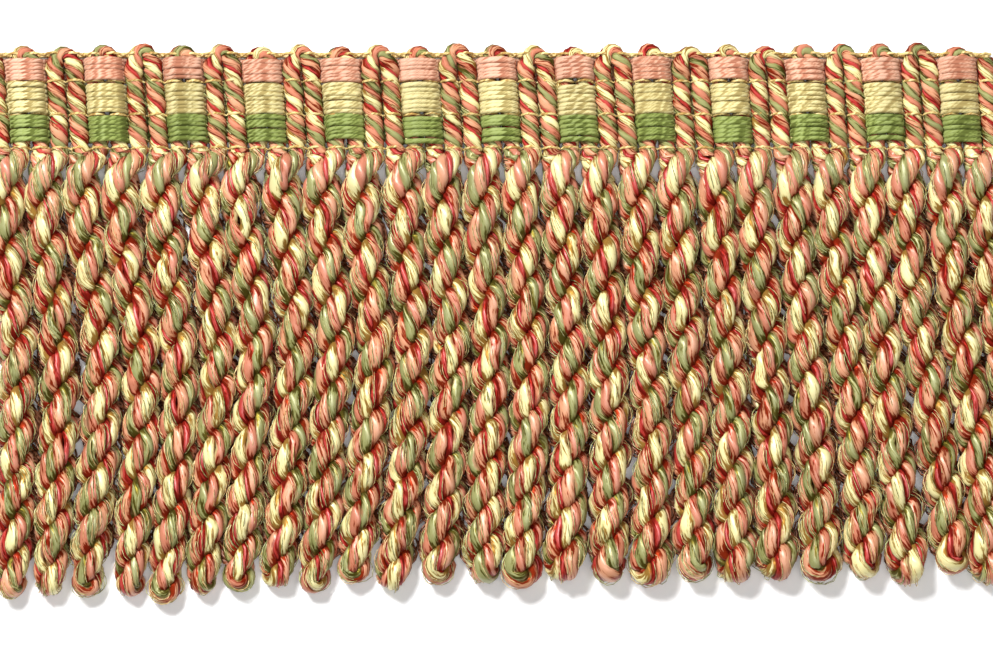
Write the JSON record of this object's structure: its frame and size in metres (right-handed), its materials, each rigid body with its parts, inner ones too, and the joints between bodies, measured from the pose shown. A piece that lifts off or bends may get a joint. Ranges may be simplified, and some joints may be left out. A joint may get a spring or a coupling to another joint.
{
  "type": "bullion fringe",
  "caption": "Flat cut length of bullion fringe: a ribbed woven heading with three warp bands, and a skirt of thick twisted cords with looped tips.",
  "frame": {"origin": "on the surface that the fringe lies on, under the middle of its bounding box", "axes": "+X along the trim, left to right as seen from the front; +Y from the cord tips to the heading; +Z out of the front face"},
  "size_m": [0.1958, 0.103, 0.0066],
  "materials": {
    "woven_heading": "silky yarn, ribbed, in cream, rose, green and red with rose, cream and green bands",
    "twisted_yarn": "silky yarn of cream, rose, green and red strands, heavily twisted"
  },
  "bodies": {
    "root": {"heading": "woven_heading", "skirt": "twisted_yarn"}
  },
  "joints": []
}
